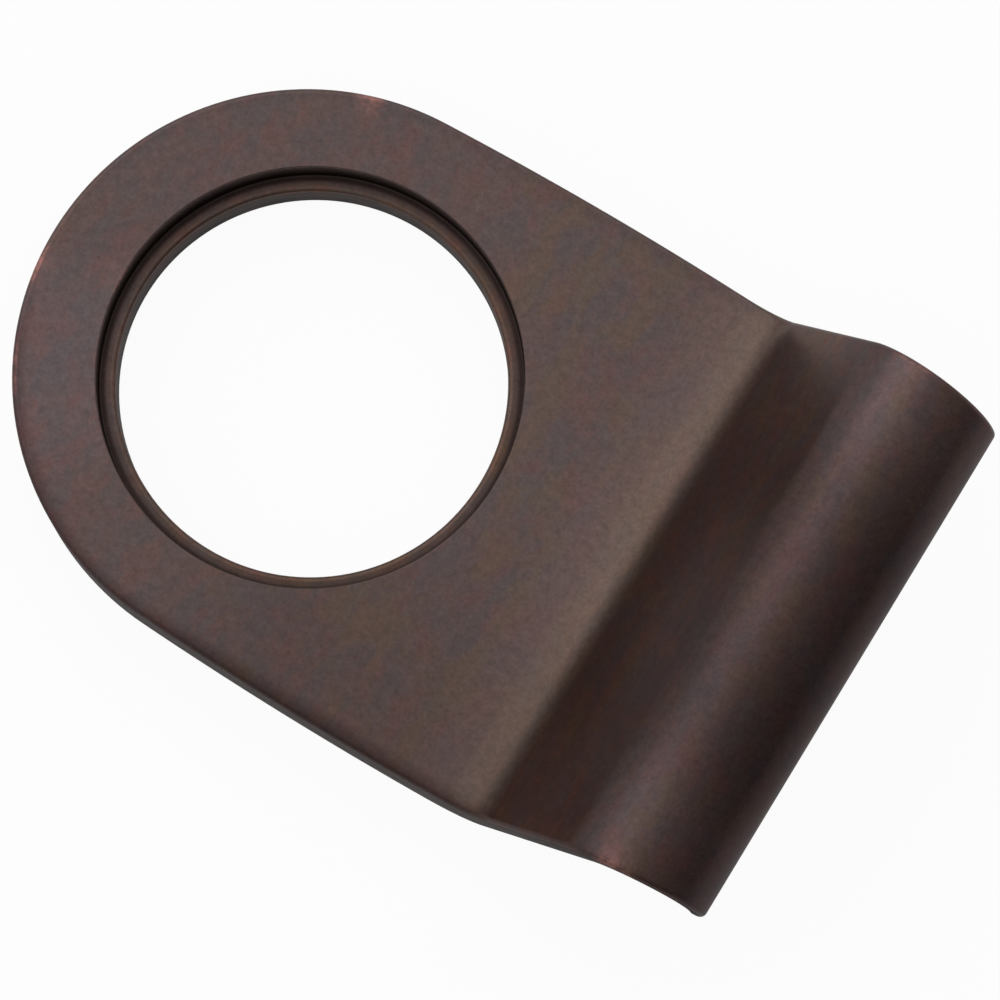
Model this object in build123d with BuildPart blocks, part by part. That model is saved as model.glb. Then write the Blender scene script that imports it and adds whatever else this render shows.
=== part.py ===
from build123d import *
from math import atan2, cos, degrees, radians, sin, sqrt, tan
import os

os.makedirs("parts", exist_ok=True)

# Cylinder pull handle, one casting, in mm.
# It lies on its flat back: the origin is the middle of the lock bore on the back face,
# +Z comes out of the face, +X runs towards the finger lip, and the part is even about the XZ plane.

# Lock bore, and the seat sunk into the face for the head of the lock
bore_radius = 16.3
ledge_width = 1.45
seat_radius = bore_radius + ledge_width
seat_depth = 2.8
seat_rim_chamfer = 0.15
bore_rim_chamfer = 0.45

# Plate seen from the front: a round end a little off the bore, then long sides that belly out
plate_thickness = 6.4
end_radius = 24.2
end_centre_x = -0.6
side_radius = 360.0
side_centre_x = 15.3
edge_round = 0.5

# Finger lip seen from the side: a soft bend, a straight rise and a roll over the top to a thin round tip.
# The hollow under the roll sits further up the rise and is a little wider, which thins the lip.
bend_start_x = 27.37
bend_radius = 5.5
rise_angle = 59.0
rise_length = 13.58
roll_radius = 6.64
roll_past_level = 77.0
lip_thickness = 2.5
hollow_lift = 1.1
hollow_ease = 0.2
under_bend_radius = 6.2

# The side arcs touch the round end, so their centres and the touching point share a line
centre_gap = side_radius - end_radius
centre_gap_x = side_centre_x - end_centre_x
centre_gap_y = sqrt(centre_gap**2 - centre_gap_x**2)
join_x = end_centre_x - end_radius * centre_gap_x / centre_gap
join_y = end_radius * centre_gap_y / centre_gap

# Face of the lip: end of the rise, and the middle of the roll
slope = radians(rise_angle)
rise_way = Vector(cos(slope), sin(slope))
rise_out = Vector(sin(slope), -cos(slope))
bend_centre = Vector(bend_start_x, plate_thickness + bend_radius)
rise_end = bend_centre + bend_radius * rise_out + rise_length * rise_way
roll_centre = rise_end + roll_radius * rise_out

# Back of the lip: parallel to the rise and a little longer, eased into the flat back
under_end = rise_end + lip_thickness * rise_out + hollow_lift * rise_way
under_ease = under_bend_radius * tan(slope / 2)
back_end_x = under_end.X - under_end.Y / tan(slope) - under_ease
under_length = under_end.Y / sin(slope) - under_ease

# Round tip: it goes on from the end of the roll and touches the hollow
hollow_radius = roll_radius - lip_thickness + hollow_ease
hollow_centre = under_end + hollow_radius * rise_out
hollow_shift = hollow_centre - roll_centre
tip_way = Vector(sin(radians(roll_past_level)), cos(radians(roll_past_level)))
tip_shift = hollow_shift.dot(tip_way)
roll_to_hollow = roll_radius**2 - hollow_radius**2 + hollow_shift.length**2 - 2 * roll_radius * tip_shift
tip_radius = roll_to_hollow / (2 * (roll_radius + hollow_radius - tip_shift))
tip_centre = roll_centre + (roll_radius - tip_radius) * tip_way
hollow_end_way = tip_centre - hollow_centre
hollow_past_level = degrees(atan2(hollow_end_way.X, hollow_end_way.Y))

# The blank is cut a little larger than the outline that is cut from it
blank_start_x = end_centre_x - end_radius - lip_thickness
blank_half_width = end_radius + lip_thickness
outline_end_x = roll_centre.X + roll_radius + lip_thickness
outline_end_y = sqrt(side_radius**2 - (outline_end_x - side_centre_x) ** 2) - centre_gap_y
outline_height = roll_centre.Y + roll_radius + lip_thickness

with BuildPart() as pull:
    # Side view of the bent plate, drawn on the middle plane and drawn out to both sides
    with BuildSketch(Plane.XZ):
        with BuildLine():
            back = Line((blank_start_x, 0), (back_end_x, 0))
            under_bend = JernArc(back @ 1, back % 1, under_bend_radius, rise_angle)
            under_rise = Line(under_bend @ 1, under_bend @ 1 + under_length * (under_bend % 1))
            hollow = JernArc(under_rise @ 1, under_rise % 1, hollow_radius, -(rise_angle + hollow_past_level))
            face = Line((blank_start_x, plate_thickness), (bend_start_x, plate_thickness))
            bend = JernArc(face @ 1, face % 1, bend_radius, rise_angle)
            rise = Line(bend @ 1, bend @ 1 + rise_length * (bend % 1))
            roll = JernArc(rise @ 1, rise % 1, roll_radius, -(rise_angle + roll_past_level))
            TangentArc(roll @ 1, hollow @ 1, tangent=roll % 1)
            Line(back @ 0, face @ 0)
        make_face()
    extrude(amount=blank_half_width, both=True)

    # Front view: what lies outside the round end and the bellied sides falls away
    with BuildSketch():
        with BuildLine():
            end_line = Line((outline_end_x, -outline_end_y), (outline_end_x, outline_end_y))
            RadiusArc(end_line @ 1, (join_x, join_y), -side_radius)
            ThreePointArc((join_x, join_y), (end_centre_x - end_radius, 0), (join_x, -join_y))
            RadiusArc((join_x, -join_y), end_line @ 0, -side_radius)
        make_face()
    extrude(amount=outline_height, mode=Mode.INTERSECT)

    # The one unbroken edge that runs round the plate, up the lip and over its tip is eased
    walls = pull.faces().filter_by(lambda wall: abs(wall.normal_at(wall.center()).Z) < 0.01)
    wall_seams = pull.edges().filter_by(Axis.Z)
    fillet(walls.edges() - wall_seams, edge_round)

    # Lock bore and seat, with the rim of the seat and both rims of the bore broken
    with Locations((0, 0, plate_thickness)):
        CounterBoreHole(bore_radius, seat_radius, seat_depth)
    rings = pull.edges().filter_by(GeomType.CIRCLE)
    seat_rim = rings.filter_by(lambda ring: abs(ring.radius - seat_radius) < 0.01).sort_by(Axis.Z)[-1]
    bore_rims = rings.filter_by(lambda ring: abs(ring.radius - bore_radius) < 0.01).sort_by(Axis.Z)
    chamfer(seat_rim, seat_rim_chamfer)
    chamfer((bore_rims[0], bore_rims[-1]), bore_rim_chamfer)

pull.part.label = "cylinder_pull"
export_step(pull.part, "parts/cylinder_pull.step")
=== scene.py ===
# %% [markdown]
# # A cylinder pull in aged bronze
#
# This pull is one casting: a thick plate that goes over a lock, and a lip for the fingers.
# The CAD model already has its sizes, so it is loaded first and never moved. Everything made
# below is in metres, in the frame of that model: the middle of the lock bore on the back is
# the origin, +Z comes out of the face and +X runs to the lip.

# %% Load the CAD frame
from math import asin, atan2, cos, pi, radians, sin, sqrt, tan

import bmesh
import bpy
from mathutils import Color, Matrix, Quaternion, Vector


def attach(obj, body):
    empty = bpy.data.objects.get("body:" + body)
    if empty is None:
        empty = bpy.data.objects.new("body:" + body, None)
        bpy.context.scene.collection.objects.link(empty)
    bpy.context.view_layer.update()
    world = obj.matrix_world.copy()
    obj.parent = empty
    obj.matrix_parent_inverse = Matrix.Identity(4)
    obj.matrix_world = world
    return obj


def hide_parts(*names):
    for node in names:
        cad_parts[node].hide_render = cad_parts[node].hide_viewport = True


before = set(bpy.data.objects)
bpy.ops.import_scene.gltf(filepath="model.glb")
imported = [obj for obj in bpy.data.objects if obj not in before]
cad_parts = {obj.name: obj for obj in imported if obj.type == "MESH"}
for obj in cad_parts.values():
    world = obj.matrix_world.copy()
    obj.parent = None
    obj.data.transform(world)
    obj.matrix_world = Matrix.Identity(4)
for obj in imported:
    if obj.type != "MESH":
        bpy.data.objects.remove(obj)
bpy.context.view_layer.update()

# %% [markdown]
# ## Camera
#
# The pull was photographed from nearly straight above with a long lens, so its two long sides
# stay almost parallel. A camera can be placed by hand, but an aim point, two angles and a
# distance say more: the camera looks back along that line, and a small roll levels the lip.

# %% Set up the camera
mm = 0.001
aim = Vector((18.82, -0.74, 6.4)) * mm
camera_distance = 441.6 * mm
camera_azimuth = radians(36.84)
camera_elevation = radians(79.94)
camera_roll = radians(-5.53)
camera_lens = 193.45

towards_camera = Vector((
    sin(camera_azimuth) * cos(camera_elevation),
    -cos(camera_azimuth) * cos(camera_elevation),
    sin(camera_elevation),
))
camera = bpy.data.objects.new("camera", bpy.data.cameras.new("camera"))
camera.data.lens = camera_lens
camera.data.sensor_width = 36
camera.data.clip_start = 10 * mm
camera.location = aim + camera_distance * towards_camera
camera.rotation_mode = "QUATERNION"
level_view = (-towards_camera).to_track_quat("-Z", "Y")
camera.rotation_quaternion = level_view @ Quaternion((0, 0, 1), camera_roll)
bpy.context.scene.collection.objects.link(camera)
bpy.context.scene.camera = camera
print("Camera at", [round(x, 4) for x in camera.location])

# %% [markdown]
# ## Nodes as sums
#
# A finish is a small sum over the surface: this colour here, a little less shine there. Wiring
# each node by hand hides that sum. So one class wraps a socket and lets Python's own signs add
# the Math nodes. A second class adds any other node, and mixes colours and measures lengths.

# %% Wrap sockets and node trees


class Field:
    """A value that changes over a surface: one output socket, with the sums that finishes use."""

    def __init__(self, finish, socket):
        self.finish = finish
        self.socket = socket

    def sum(self, operation, first, second):
        return self.finish.node("ShaderNodeMath", {"operation": operation}, {0: first, 1: second})

    def __add__(self, other):
        return self.sum("ADD", self, other)

    __radd__ = __add__

    def __sub__(self, other):
        return self.sum("SUBTRACT", self, other)

    def __rsub__(self, other):
        return self.sum("SUBTRACT", other, self)

    def __mul__(self, other):
        return self.sum("MULTIPLY", self, other)

    __rmul__ = __mul__

    def at_least(self, other):
        return self.sum("MAXIMUM", self, other)

    def at_most(self, other):
        return self.sum("MINIMUM", self, other)

    def between(self, low, high):
        """0 below low, 1 above high, and a soft step from one to the other."""
        return self.finish.node(
            "ShaderNodeMapRange",
            {"interpolation_type": "SMOOTHSTEP"},
            {"Value": self, "From Min": low, "From Max": high},
        )


class Finish:
    """The node tree of a material or of the world."""

    def __init__(self, owner):
        owner.use_nodes = True
        self.tree = owner.node_tree
        self.tree.nodes.clear()

    def node(self, kind, settings=None, sockets=None, output=0):
        """Adds a node: settings first, then the values or links of its sockets."""
        made = self.tree.nodes.new(kind)
        for name, value in (settings or {}).items():
            setattr(made, name, value)
        for name, value in (sockets or {}).items():
            if isinstance(value, Field):
                self.tree.links.new(value.socket, made.inputs[name])
            else:
                made.inputs[name].default_value = value
        return Field(self, made.outputs[output]) if made.outputs else made

    def mix(self, share, first, second, blend="MIX"):
        """Goes from the first colour to the second as share goes from 0 to 1."""
        colour_a, colour_b, colour_result = 6, 7, 2
        return self.node(
            "ShaderNodeMix",
            {"data_type": "RGBA", "blend_type": blend},
            {0: share, colour_a: first, colour_b: second},
            colour_result,
        )

    def tint(self, share, first, filter_colour):
        """Multiplies a colour by another one, as a coloured glass does, as share goes from 0 to 1."""
        return self.mix(share, first, filter_colour, "MULTIPLY")

    def parts(self, vector):
        """The X, Y and Z of a vector."""
        split = "ShaderNodeSeparateXYZ"
        return [self.node(split, sockets={"Vector": vector}, output=axis) for axis in "XYZ"]

    def length(self, vector):
        """The length of a vector."""
        return self.node("ShaderNodeVectorMath", {"operation": "LENGTH"}, {0: vector}, "Value")

    def distance(self, place, point):
        """How far a place is from a point."""
        return self.node("ShaderNodeVectorMath", {"operation": "DISTANCE"}, {0: place, 1: point}, "Value")


def colour(red, green, blue):
    """A colour as a picture shows it, 0 to 255, turned into the linear one that nodes use."""
    return (*Color((red / 255, green / 255, blue / 255)).from_srgb_to_scene_linear(), 1.0)


print("A mid brown is", [round(x, 3) for x in colour(88, 75, 73)])

# %% [markdown]
# ## Floor and background
#
# The real pull was cut out on white. A white card under it does the same. Most of what the
# camera and mirror-like surfaces see of the card is its own even white, and the rest is plain
# matt card that takes the light, so that the pull still throws a soft shadow. The card lies a
# hair below the back of the pull, because two faces in one plane would flicker.

# %% Lay the floor
floor_size = 6.0
floor_gap = 0.05 * mm
card_white = (0.9, 0.9, 0.9, 1.0)
shadow_share = 0.06


def seen_directly(finish):
    """1 for what the camera, a reflection or glass looks at, and 0 for light that bounces."""
    path = "ShaderNodeLightPath"
    camera_ray = finish.node(path, output="Is Camera Ray")
    glossy_ray = finish.node(path, output="Is Glossy Ray")
    clear_ray = finish.node(path, output="Is Transmission Ray")
    return camera_ray.at_least(glossy_ray).at_least(clear_ray)


card = bpy.data.materials.new("white_card")
paint = Finish(card)
matt = paint.node("ShaderNodeBsdfDiffuse", sockets={"Color": card_white})
even_white = paint.node("ShaderNodeEmission", sockets={"Color": (1, 1, 1, 1), "Strength": 1.0})
evenness = seen_directly(paint) * (1 - shadow_share)
floor_look = paint.node("ShaderNodeMixShader", sockets={0: evenness, 1: matt, 2: even_white})
paint.node("ShaderNodeOutputMaterial", sockets={"Surface": floor_look})

floor_shape = bmesh.new()
bmesh.ops.create_grid(floor_shape, x_segments=1, y_segments=1, size=floor_size / 2)
floor = bpy.data.objects.new("floor", bpy.data.meshes.new("floor"))
floor_shape.to_mesh(floor.data)
floor_shape.free()
floor.data.materials.append(card)
floor.location.z = -floor_gap
bpy.context.scene.collection.objects.link(floor)
print("Floor of", floor_size, "m")

# %% [markdown]
# ## Light
#
# Satin metal shows its surroundings more than its own colour, so the studio matters as much as
# the finish. A picture of a room could light it, but a sum is enough. The room is brighter to the
# left and to the far side. It dims to the near side, and to the right twice as fast as it brightens
# to the left, and it is darker towards the ground. In the world's nodes Generated is the way a
# ray looks, so the brightness is a sum of its parts.

# %% Light the room
room_overhead = 0.9
room_to_left = 0.38
room_to_right = 0.75
room_to_far = 0.3
room_darkest = 0.2
room_brightest = 1.5
ground_dimming = 0.6
ground_reach = 0.38

room = bpy.data.worlds.new("studio")
bpy.context.scene.world = room
air = Finish(room)
way = air.node("ShaderNodeTexCoord", output="Generated")
right, far, up = air.parts(way)
across_room = room_overhead - right.at_most(0) * room_to_left - right.at_least(0) * room_to_right
across_room = across_room + far * room_to_far
across_room = across_room.at_least(room_darkest).at_most(room_brightest)
brightness = across_room * (1 - ground_dimming + ground_dimming * up.between(0, ground_reach))
background = air.node("ShaderNodeBackground", sockets={"Color": (1, 1, 1, 1), "Strength": brightness})
air.node("ShaderNodeOutputWorld", sockets={"Surface": background})
print("Room from", room_darkest, "to", room_brightest)

# %% [markdown]
# A room that glows from all round hardly throws a shadow. One large soft lamp, over the left,
# adds it. A small lamp would give it a hard edge.

# %% Hang the lamp
lamp_width = 0.8
lamp_distance = 0.85
lamp_power = 0.4
lamp_way = Vector((-0.72, 0.2, 0.68)).normalized()

lamp = bpy.data.objects.new("soft_lamp", bpy.data.lights.new("soft_lamp", "AREA"))
lamp.data.shape = "SQUARE"
lamp.data.size = lamp_width
lamp.data.energy = lamp_power
lamp.location = aim + lamp_distance * lamp_way
lamp.rotation_mode = "QUATERNION"
lamp.rotation_quaternion = (-lamp_way).to_track_quat("-Z", "Y")
bpy.context.scene.collection.objects.link(lamp)
print("Lamp of", lamp_power, "W,", lamp_width, "m wide")

# %% [markdown]
# ## Sizes of the casting
#
# The CAD mesh is made of loose flat triangles, which would show as facets in satin metal. So the
# pull is modelled again from the same few sizes, with smooth faces. The plate ends in a half
# round a little off the bore. Its long sides are arcs of a very large circle that touch that
# half round, which gives the slight belly.

# %% Name the sizes
bore_radius = 16.3 * mm
seat_radius = 17.75 * mm
seat_depth = 2.8 * mm
plate_thickness = 6.4 * mm
end_radius = 24.2 * mm
end_centre = Vector((-0.6, 0, 0)) * mm
side_radius = 360.0 * mm
side_centre_x = 15.3 * mm

bend_start_x = 27.37 * mm
bend_radius = 5.5 * mm
rise_angle = radians(59)
rise_length = 13.58 * mm
roll_radius = 6.64 * mm
roll_past_level = radians(77)
lip_thickness = 2.5 * mm
hollow_lift = 1.1 * mm
hollow_ease = 0.2 * mm
under_bend_radius = 6.2 * mm

centre_gap = side_radius - end_radius
side_centre_y = -sqrt(centre_gap**2 - (side_centre_x - end_centre.x) ** 2)
touch_angle = asin((side_centre_x - end_centre.x) / centre_gap)


def half_width(x):
    """Half the width of the pull at x, past the half round end."""
    return side_centre_y + sqrt(side_radius**2 - (x - side_centre_x) ** 2)


print("Width at the bend in mm:", round(2000 * half_width(bend_start_x), 2))

# %% [markdown]
# ## Bore
#
# A lathe would cut the bore and the sunk seat for the head of the lock. A spin does the same
# here: four points down the cut, joined by three edges, are turned once round the bore's axis.
# It has as many steps as the outline of the plate has edges, so that the two can be bridged.

# %% Turn the bore
side_steps = 16
end_steps = 88
across_steps = 24
round_steps = 2 * side_steps + end_steps + across_steps
same_height = 0.001 * mm

shape = bmesh.new()
rubbed = shape.verts.layers.float.new("rubbed_edge")
side_wall = shape.verts.layers.float.new("side_wall")
ledge_z = plate_thickness - seat_depth
cut_points = (
    (seat_radius, plate_thickness),
    (seat_radius, ledge_z),
    (bore_radius, ledge_z),
    (bore_radius, 0),
)
cut = [shape.verts.new((radius, 0, z)) for radius, z in cut_points]
cut_edges = [shape.edges.new(pair) for pair in zip(cut, cut[1:])]
bmesh.ops.spin(
    shape, geom=cut + cut_edges, axis=(0, 0, 1), angle=2 * pi, steps=round_steps, use_merge=True
)


def open_edges_at(z):
    """The edges at a height that have a face on one side only."""
    edges = [e for e in shape.edges if e.is_boundary]
    return [e for e in edges if all(abs(v.co.z - z) < same_height for v in e.verts)]


seat_mouth = open_edges_at(plate_thickness)
bore_back = open_edges_at(0)
print("Bore of", len(shape.faces), "faces, mouths of", len(seat_mouth), "and", len(bore_back), "edges")

# %% [markdown]
# ## Face and back
#
# Both are flat, with the bore cut out of them. Their outline is drawn by turning one point about
# three centres: the far one of a long side, the middle of the half round end, and the far one of
# the other side. One straight edge across, where the lip begins, closes it. Bridging outline and
# bore gives the flat face. A bridge between two loops in one plane can't tell which way round
# they run, so each outline is bridged while it is held off the plane, and then put back.

# %% Draw the outlines and bridge them to the bore


def turn_point(point, centre, angle, steps):
    """Turns the last point of a line about an upright axis, and returns the new last point."""
    turned = bmesh.ops.spin(shape, geom=[point], cent=centre, axis=(0, 0, 1), angle=angle, steps=steps)
    return next(part for part in turned["geom_last"] if isinstance(part, bmesh.types.BMVert))


def draw_outline(z, lip_x):
    """Draws the closed outline of the plate at a height, up to where the lip begins."""
    known = set(shape.edges)
    start = shape.verts.new((lip_x, half_width(lip_x), z))
    side_turn = asin((lip_x - side_centre_x) / side_radius) + touch_angle
    far_side = Vector((side_centre_x, side_centre_y, z))
    near_side = Vector((side_centre_x, -side_centre_y, z))
    point = turn_point(start, far_side, side_turn, side_steps)
    point = turn_point(point, end_centre, pi - 2 * touch_angle, end_steps)
    point = turn_point(point, near_side, side_turn, side_steps)
    closing_edge = shape.edges.new((point, start))
    bmesh.ops.subdivide_edges(shape, edges=[closing_edge], cuts=across_steps - 1)
    return [e for e in shape.edges if e not in known]


rise_way = Vector((cos(rise_angle), 0, sin(rise_angle)))
rise_out = Vector((sin(rise_angle), 0, -cos(rise_angle)))
bend_centre = Vector((bend_start_x, 0, plate_thickness + bend_radius))
rise_end = bend_centre + bend_radius * rise_out + rise_length * rise_way
under_end = rise_end + lip_thickness * rise_out + hollow_lift * rise_way
under_ease = under_bend_radius * tan(rise_angle / 2)
back_end_x = under_end.x - under_end.z / tan(rise_angle) - under_ease


def bridge_flat(mouth, z, lip_x, hold_off):
    """Joins an outline to a mouth of the bore, at the mouth's height."""
    outline = draw_outline(z + hold_off, lip_x)
    bmesh.ops.bridge_loops(shape, edges=mouth + outline)
    bmesh.ops.translate(shape, verts=list({v for e in outline for v in e.verts}), vec=(0, 0, -hold_off))
    return len(outline)


print("Face outline of", bridge_flat(seat_mouth, plate_thickness, bend_start_x, seat_radius), "edges")
print("Back outline of", bridge_flat(bore_back, 0, back_end_x, -seat_radius), "edges")

# %% [markdown]
# ## Finger lip
#
# The lip is one strip that starts across the face, bends up, rises straight, rolls over the top,
# turns round at the tip and comes back underneath. Each stretch is either a spin about an axis
# across the pull or one extrude. The finger hollow turns about a point further up the rise than
# the roll does, which thins the lip over the top, and the round tip touches both. The strip is
# first made 1 m to each side, so that a point's place across it is a share of the half width, and
# is then drawn in to the belly of the sides.

# %% Roll up the lip
bend_steps = 24
roll_steps = 48
tip_steps = 16
merge_distance = 0.005 * mm


def turn_strip(edges, centre, angle, steps):
    """Turns the free edges of the strip about an axis across the pull."""
    verts = {v for e in edges for v in e.verts}
    turned = bmesh.ops.spin(
        shape, geom=edges + list(verts), cent=centre, axis=(0, 1, 0), angle=angle, steps=steps
    )
    return [part for part in turned["geom_last"] if isinstance(part, bmesh.types.BMEdge)]


def run_strip(edges, way):
    """Takes the free edges of the strip straight on."""
    pulled = bmesh.ops.extrude_edge_only(shape, edges=edges)["geom"]
    verts = [part for part in pulled if isinstance(part, bmesh.types.BMVert)]
    bmesh.ops.translate(shape, verts=verts, vec=way)
    moved = set(verts)
    return [e for e in shape.edges if all(v in moved for v in e.verts)]


roll_centre = rise_end + roll_radius * rise_out
roll_turn = rise_angle + roll_past_level
hollow_radius = roll_radius - lip_thickness + hollow_ease
hollow_centre = under_end + hollow_radius * rise_out
hollow_shift = hollow_centre - roll_centre
tip_way = Vector((sin(roll_past_level), 0, cos(roll_past_level)))
tip_shift = hollow_shift.dot(tip_way)
roll_to_hollow = roll_radius**2 - hollow_radius**2 + hollow_shift.length_squared
both_radii = roll_radius + hollow_radius
tip_radius = (roll_to_hollow - 2 * roll_radius * tip_shift) / (2 * (both_radii - tip_shift))
tip_centre = roll_centre + (roll_radius - tip_radius) * tip_way
hollow_end_way = tip_centre - hollow_centre
hollow_turn = rise_angle + atan2(hollow_end_way.x, hollow_end_way.z)
tip_turn = pi + hollow_turn - roll_turn
under_length = under_end.z / sin(rise_angle) - under_ease

known_edges = set(shape.edges)
strip_corners = [shape.verts.new((bend_start_x, share, plate_thickness)) for share in (-1, 1)]
first_edge = shape.edges.new(strip_corners)
bmesh.ops.subdivide_edges(shape, edges=[first_edge], cuts=across_steps - 1)
strip = [e for e in shape.edges if e not in known_edges]
strip = turn_strip(strip, bend_centre, -rise_angle, bend_steps)
strip = run_strip(strip, rise_length * rise_way)
strip = turn_strip(strip, roll_centre, roll_turn, roll_steps)
strip = turn_strip(strip, tip_centre, tip_turn, tip_steps)
strip = turn_strip(strip, hollow_centre, -hollow_turn, roll_steps)
strip = run_strip(strip, -under_length * rise_way)
strip = turn_strip(strip, Vector((back_end_x, 0, under_bend_radius)), rise_angle, bend_steps)
for vert in {v for e in shape.edges if e not in known_edges for v in e.verts}:
    vert.co.y *= half_width(vert.co.x)
bmesh.ops.remove_doubles(shape, verts=shape.verts, dist=merge_distance)
print("With the lip,", len(shape.faces), "faces")

# %% [markdown]
# ## Side wall
#
# What is still open is one long band: round the plate, up both sides of the lip and over its tip.
# Face and back have the same number of edges along it, so a bridge fills it with one row of
# quads, and the two half discs that are left at the tip are filled as they are.

# %% Close the wall
tolerance = 0.02 * mm


def on_tip(vert):
    """True on the round tip of the lip."""
    offset = vert.co - tip_centre
    return abs(Vector((offset.x, offset.z)).length - tip_radius) < tolerance


rim = [e for e in shape.edges if e.is_boundary and not all(on_tip(v) for v in e.verts)]
bmesh.ops.bridge_loops(shape, edges=rim)
bmesh.ops.holes_fill(shape, edges=[e for e in shape.edges if e.is_boundary], sides=0)
bmesh.ops.recalc_face_normals(shape, faces=shape.faces)
open_edges = [e for e in shape.edges if not e.is_manifold]
print("Closed shell of", len(shape.faces), "faces with", len(open_edges), "open edges")

# %% [markdown]
# ## Eased edges
#
# A casting that is tumbled and dipped has no sharp edge, and the thin line of light along an edge
# is most of what makes it look like metal. The edge all round and the rims of the bore are eased
# most, and the rim and the corner of the seat are crisper. The points in the middle of an outer
# easing are marked, because hands and a cloth rub the dark finish off there first. The walls are
# marked as well, because nothing polishes them, so they shine less; the same mark carries painted
# shade on them.

# %% Ease the edges
edge_round = 0.5 * mm
seat_rim_round = 0.12 * mm
bore_rim_round = 0.45 * mm
seat_corner_round = 0.2 * mm
edge_segments = 6
rim_segments = 4
sharp = radians(40)


def ease(edges, width, segments, rub):
    """Rounds edges off and marks how much the middle of the rounding is rubbed."""
    made = bmesh.ops.bevel(
        shape, geom=edges, offset=width, offset_type="OFFSET", affect="EDGES", segments=segments,
        profile=0.5, material=-1, loop_slide=True, clamp_overlap=False,
    )
    eased = set(made["faces"])
    for vert in made["verts"]:
        if all(face in eased for face in vert.link_faces):
            vert[rubbed] = rub
    return len(eased)


def rim_edges(radius, z):
    """The edges of a ring round the bore's axis."""
    def on_ring(vert):
        return abs(vert.co.xy.length - radius) < tolerance and abs(vert.co.z - z) < tolerance
    return [e for e in shape.edges if all(on_ring(v) for v in e.verts)]


rims = (
    (seat_radius, plate_thickness, seat_rim_round, 1.0),
    (bore_radius, ledge_z, bore_rim_round, 0.0),
    (bore_radius, 0, bore_rim_round, 0.0),
    (seat_radius, ledge_z, seat_corner_round, 0.0),
)
rim_set = {e for radius, z, width, rub in rims for e in rim_edges(radius, z)}
outer_edge = [e for e in shape.edges if e.calc_face_angle(0) > sharp and e not in rim_set]
print("Edge all round eased with", ease(outer_edge, edge_round, edge_segments, 1.0), "faces")
for radius, z, width, rub in rims:
    eased_faces = ease(rim_edges(radius, z), width, rim_segments, rub)
    print("Rim at", round(1000 * z, 1), "mm eased with", eased_faces, "faces")


def on_wall(vert):
    """True on the wall of the bore, and on the flat of the wall all round, between its eased edges."""
    if abs(vert.co.xy.length - bore_radius) < tolerance:
        return True
    if vert.co.x < end_centre.x - end_radius * sin(touch_angle):
        return abs((vert.co - end_centre).xy.length - end_radius) < tolerance
    return abs(abs(vert.co.y) - half_width(vert.co.x)) < tolerance


for vert in shape.verts:
    vert[side_wall] = float(on_wall(vert))
print("Wall marked at", sum(on_wall(vert) for vert in shape.verts), "points")

# %% [markdown]
# The shell becomes one object that rides the body and stands for the CAD node. Smooth shading
# alone would bend the light over the flat faces near each easing. Normals weighted by the area
# of the faces keep the flats flat.

# %% Make the pull an object
bmesh.ops.recalc_face_normals(shape, faces=shape.faces)
print("Volume in cubic mm:", round(shape.calc_volume() / mm**3))
pull = bpy.data.objects.new("cast_pull", bpy.data.meshes.new("cast_pull"))
shape.to_mesh(pull.data)
shape.free()
pull.data.shade_smooth()
bpy.context.scene.collection.objects.link(pull)
even_shading = pull.modifiers.new("even_shading", "WEIGHTED_NORMAL")
even_shading.mode = "FACE_AREA"
even_shading.weight = 100
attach(pull, "root")
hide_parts("cylinder_pull")
print("Pull with", len(pull.data.polygons), "faces")

# %% [markdown]
# ## Aged bronze
#
# The finish is a thin dark patina that a dip leaves on the metal. It is satin, and never one
# colour: brown over all, with cloudy patches of grey, of red brown and of olive. Dabs of paint
# could give them, but a noise pattern never repeats and has no seams. Each cloud is such a
# pattern, drawn out across the pull and cut to soft patches that let one colour through. The
# olive gets stronger from the round end towards the lip.

# %% Mottle the patina
patina_brown = colour(94, 78, 76)
patina_grey = colour(87, 79, 79)
patina_red = colour(106, 74, 70)
patina_olive = colour(99, 82, 69)
grey_share = 0.75
red_share = 0.42
olive_at_end = 0.12
olive_towards_lip = 0.43
cloud_detail = 5
cloud_roughness = 0.65
patch_stretch = 2.0

bronze = bpy.data.materials.new("aged_bronze")
patina = Finish(bronze)
place = patina.node("ShaderNodeTexCoord", output="Object")
along, across, up = patina.parts(place)


def cloud(patch, shift, detail=cloud_detail, stretch=1.0):
    """A cloudy pattern from 0 to 1, with patches of about this size. The shift sets clouds apart."""
    moved = patina.node(
        "ShaderNodeVectorMath", {"operation": "MULTIPLY_ADD"},
        {0: place, 1: (1, 1 / stretch, 1), 2: (shift, 0, shift)},
    )
    return patina.node(
        "ShaderNodeTexNoise",
        sockets={"Vector": moved, "Scale": 1 / patch, "Detail": detail, "Roughness": cloud_roughness},
    )


grey_clouds = cloud(2.4 * mm, 0.1, stretch=patch_stretch).between(0.42, 0.6)
red_clouds = cloud(1.8 * mm, 0.3, stretch=patch_stretch).between(0.47, 0.66)
olive_clouds = cloud(3.0 * mm, 0.5, stretch=patch_stretch).between(0.45, 0.63)
olive_share = olive_at_end + olive_towards_lip * along.between(-4 * mm, 14 * mm)
mottled = patina.mix(grey_clouds * grey_share, patina_brown, patina_grey)
mottled = patina.mix(red_clouds * red_share, mottled, patina_red)
mottled = patina.mix(olive_clouds * olive_share, mottled, patina_olive)
print("Patina of four colours, with", len(patina.tree.nodes), "nodes so far")
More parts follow.
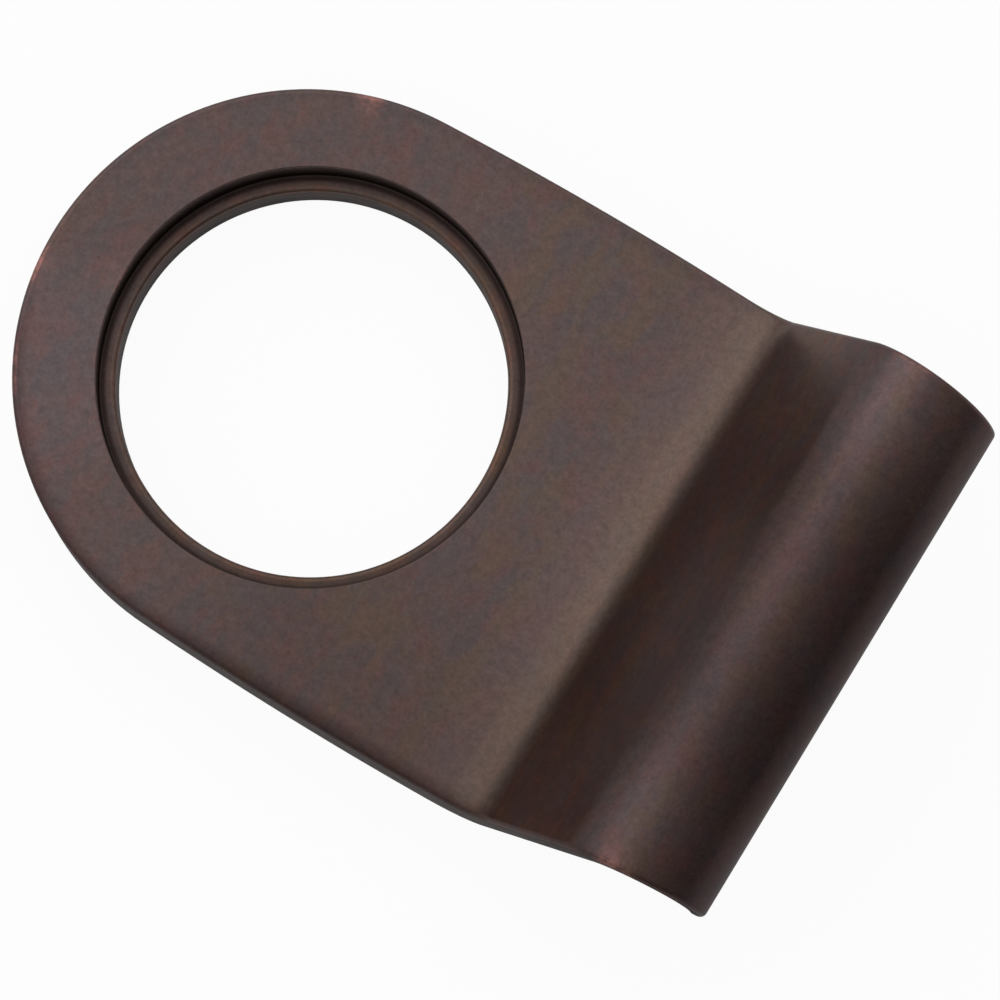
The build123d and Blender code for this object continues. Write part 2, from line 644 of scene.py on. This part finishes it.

# %% [markdown]
# ## Tones by place
#
# Most of these tones are painted light and shade: the pull is made lighter and darker from place
# to place, standing in for light and shade that plain studio light doesn't give. A mask says where
# a place is: a soft step along, across or up the pull, or a product of such steps. Its tint then
# multiplies the patina, as coloured glass would, so the clouds stay. A tint under 1 darkens and one
# over 1 lightens. The plate comes first: a painted highlight by the bend, lighter on a patch of the
# round end, and painted shade towards the near side.

# %% Tone the plate
# The bend colours are a painted highlight: a lighter band before the bend, warmer at the crease.
painted_bend_highlight = colour(108, 90, 87)
painted_crease_highlight = colour(97, 81, 71)
bend_share = 0.55
light_patch = Vector((-18, -10, 6.4)) * mm
light_patch_core = 3.9 * mm
light_patch_reach = 13 * mm


def tone(base, tones):
    """Tints a colour at each place: a mask, and the red, green and blue of its tint."""
    for where, tint in tones:
        base = patina.tint(where, base, (*tint, 1))
    return base


past_bend = along.between(31 * mm, 33 * mm)
by_bend = along.between(22 * mm, 28 * mm) * (1 - past_bend)
in_crease = along.between(27 * mm, 29.5 * mm)
# Painted shade: the near side of the plate is darker.
near_side = (1 - across.between(-24 * mm, 4 * mm)) * along.between(-6 * mm, 12 * mm)
on_light_patch = 1 - patina.distance(place, light_patch).between(light_patch_core, light_patch_reach)
bend_colour = patina.mix(in_crease, painted_bend_highlight, painted_crease_highlight)
toned = patina.mix(by_bend * bend_share, mottled, bend_colour)
toned = tone(toned, (
    (near_side, (0.82, 0.8, 0.79)),
    (on_light_patch, (1.14, 1.16, 1.22)),
))
print("Plate toned, light patch of", round(1000 * light_patch_reach), "mm")

# %% [markdown]
# The lip's tones are painted light and shade, apart from its red patches. The whole lip is painted
# darker than the plate. From the bend outwards it has a rise in painted shade with red patches of
# its own, a painted highlight on the crest, and a fall in painted shade that darkens down to the tip.
# Its middle is painted darker than its two ends. The near end of the rise has a painted highlight,
# but its wall and its eased edge don't, so the marks of those two leave them out.

# %% Tone the lip
wall = patina.node("ShaderNodeAttribute", {"attribute_name": "side_wall"}, output="Fac")
edge = patina.node("ShaderNodeAttribute", {"attribute_name": "rubbed_edge"}, output="Fac")
wall_or_edge = wall.at_least(edge)
off_middle_squared = across * across

on_rise = past_bend * (1 - along.between(38 * mm, 40.5 * mm))
on_lip = along.between(35.5 * mm, 40 * mm)
on_crest = along.between(40.8 * mm, 42.4 * mm) * (1 - along.between(42.8 * mm, 45.5 * mm))
on_fall = along.between(42.8 * mm, 47 * mm)
by_tip = along.between(48.4 * mm, 50 * mm)
lip_middle = past_bend * (1 - off_middle_squared.between((6 * mm) ** 2, (18 * mm) ** 2))
roll_ends = along.between(38 * mm, 41 * mm) * off_middle_squared.between((10 * mm) ** 2, (21 * mm) ** 2)
near_rise = on_rise * (1 - across.between(-21 * mm, -10 * mm)) * (1 - wall_or_edge)
# Every tint here is painted light or shade, except the red patches of the rise.
lip_tones = (
    (on_rise, (0.86, 0.81, 0.79)),
    (on_rise * red_clouds, (1.14, 1.03, 0.92)),
    (on_lip, (0.67, 0.67, 0.69)),
    (on_crest, (1.25, 1.23, 1.26)),
    (on_fall, (0.8, 0.74, 0.73)),
    (by_tip, (0.7, 0.72, 0.76)),
    (lip_middle, (0.83, 0.79, 0.79)),
    (roll_ends, (1.22, 1.2, 1.2)),
    (near_rise, (1.32, 1.2, 1.15)),
)
toned = tone(toned, lip_tones)
print("Lip toned at", len(lip_tones), "places")

# %% [markdown]
# The walls and a band along the outline are darkened, most of all on the near side: this is painted
# shade. The distance from a spine finds the outline. The spine is a line from the middle of the
# round end to the lip, and before it only its end point counts, so the band follows the half round.

# %% Tone the outline and the walls
before_spine = (along - end_centre.x).at_most(0)
from_spine = patina.length(patina.node("ShaderNodeCombineXYZ", sockets={"X": before_spine, "Y": across}))
by_outline = from_spine.between(22.6 * mm, 24.4 * mm) * (1 - on_rise) + wall_or_edge * on_rise
near_band = by_outline * (1 - across.between(-12 * mm, -2 * mm))
far_band = by_outline * across.between(-2 * mm, 8 * mm)
# Painted shade on the walls and in a band along the outline.
toned = tone(toned, (
    (wall, (0.46, 0.54, 0.54)),
    (near_band, (0.52, 0.47, 0.47)),
    (far_band, (0.84, 0.86, 0.88)),
))
print("Outline and walls toned")

# %% [markdown]
# The seat of the lock and the bore get painted shade, and a painted shadow in the corner of the
# seat is the darkest place of all. The edge of the ledge has a painted highlight. All of it is
# round, so its masks go by the distance from the axis of the bore.

# %% Tone the seat and the bore
painted_seat_wall_shade = colour(82, 70, 68)
painted_corner_shadow = colour(50, 40, 38)

from_axis = patina.length(patina.node("ShaderNodeCombineXYZ", sockets={"X": along, "Y": across}))
in_recess = (1 - from_axis.between(17.76 * mm, 17.86 * mm)) * up.between(2 * mm, 3 * mm)
in_bore = (1 - from_axis.between(16.32 * mm, 16.45 * mm)) * (1 - up.between(0.8 * mm, 3.3 * mm))
ledge_edge = from_axis.between(16.3 * mm, 16.4 * mm) * (1 - from_axis.between(16.65 * mm, 16.85 * mm))
corner_shadow = in_recess * from_axis.between(16.95 * mm, 17.4 * mm) * (1 - up.between(6.3 * mm, 6.38 * mm))
# Painted shade in the seat and the bore, and a painted highlight on the edge of the ledge.
toned = tone(toned, (
    (in_recess, (0.74, 0.7, 0.65)),
    (in_bore, (0.3, 0.26, 0.25)),
    (ledge_edge * in_recess, (1.35, 1.3, 1.2)),
))
# A painted shadow in the seat's corner, darkest at the ledge and lighter up the wall.
corner_shadow_colour = patina.mix(up.between(3.8 * mm, 6.2 * mm), painted_corner_shadow, painted_seat_wall_shade)
toned = patina.mix(corner_shadow, toned, corner_shadow_colour)
print("Seat and bore toned, with", len(patina.tree.nodes), "nodes so far")

# %% [markdown]
# ## Rubbed copper
#
# Where hands and a cloth rub, the copper colour of the metal comes through. It could run along
# every edge, but on this pull it shows at a few places only. Each has a middle and a reach in mm,
# how bare its edge is, and how bare the face beside the edge is. A fine cloud breaks it up.

# %% Rub the copper through
copper = colour(156, 108, 100)
rubbed_everywhere = 0.01
worn_places = (
    (Vector((-24.5, -3.6, 6.2)), 2.4, 0.9, 0.25),
    (Vector((-21.5, -12.0, 6.2)), 3.5, 0.45, 0.0),
    (Vector((-8.1, 22.6, 6.2)), 1.9, 0.4, 0.5),
    (Vector((-17.8, -1.0, 6.4)), 2.4, 0.6, 0.15),
    (Vector((42.8, 23.2, 23.0)), 2.8, 0.4, 0.18),
    (Vector((43.3, -23.2, 23.0)), 2.4, 0.3, 0.3),
)

worn = edge * rubbed_everywhere
for middle, reach, at_edge, beside_edge in worn_places:
    nearness = 1 - patina.distance(place, middle * mm).between(0, reach * mm)
    worn = worn.at_least(nearness * (edge * at_edge + beside_edge))
patchy = cloud(0.9 * mm, 0.7).between(0.35, 0.6)
rub = worn * patchy
rubbed_colour = patina.mix(rub, toned, copper)
print("Copper shows at", len(worn_places), "places")

# %% [markdown]
# ## Grain and shine
#
# A casting is sanded before its dip, which leaves a grain finer than the clouds. It makes the
# colour speckled, stands up about a hundredth of a millimetre as bump, and roughens the shine.
# Rubbed places shine more, and the lip and the walls less.

# %% Grain, shine and bump
darkest_grain = (0.4, 0.4, 0.4, 1)
lightest_grain = (1.6, 1.6, 1.6, 1)
satin = 0.27
grey_dulls = 0.04
grain_dulls = 0.06
rubbing_polishes = 0.04
wall_dulls = 0.3
lip_dulls = 0.06
relief_height = 0.02 * mm
relief_strength = 0.2
metal_share = 0.82
clear_shine = 0.2
shine_colour = colour(220, 216, 216)

grain = cloud(0.3 * mm, 0.9, detail=3)
specks = (grain + cloud(0.8 * mm, 1.5, detail=4)) * 0.5
grained = patina.tint(1.0, rubbed_colour, patina.mix(specks, darkest_grain, lightest_grain))
dullness = satin + grey_dulls * grey_clouds + grain_dulls * grain - rubbing_polishes * rub
dullness = dullness + wall_dulls * wall + lip_dulls * along.between(34 * mm, 40 * mm)
ripple = grain + cloud(1.2 * mm, 1.1, detail=3)
relief = patina.node(
    "ShaderNodeBump", sockets={"Strength": relief_strength, "Distance": relief_height, "Height": ripple}
)
metal = patina.node(
    "ShaderNodeBsdfPrincipled",
    sockets={
        "Base Color": grained, "Metallic": metal_share, "Roughness": dullness, "Normal": relief,
        "Specular IOR Level": clear_shine, "Specular Tint": shine_colour,
    },
)
patina.node("ShaderNodeOutputMaterial", sockets={"Surface": metal})
pull.data.materials.append(bronze)
print("Finish has", len(patina.tree.nodes), "nodes")

# %% [markdown]
# ## View transform
# #
# The render shows colours with the standard view transform.

# %% Set the view transform
bpy.context.scene.view_settings.view_transform = "Standard"
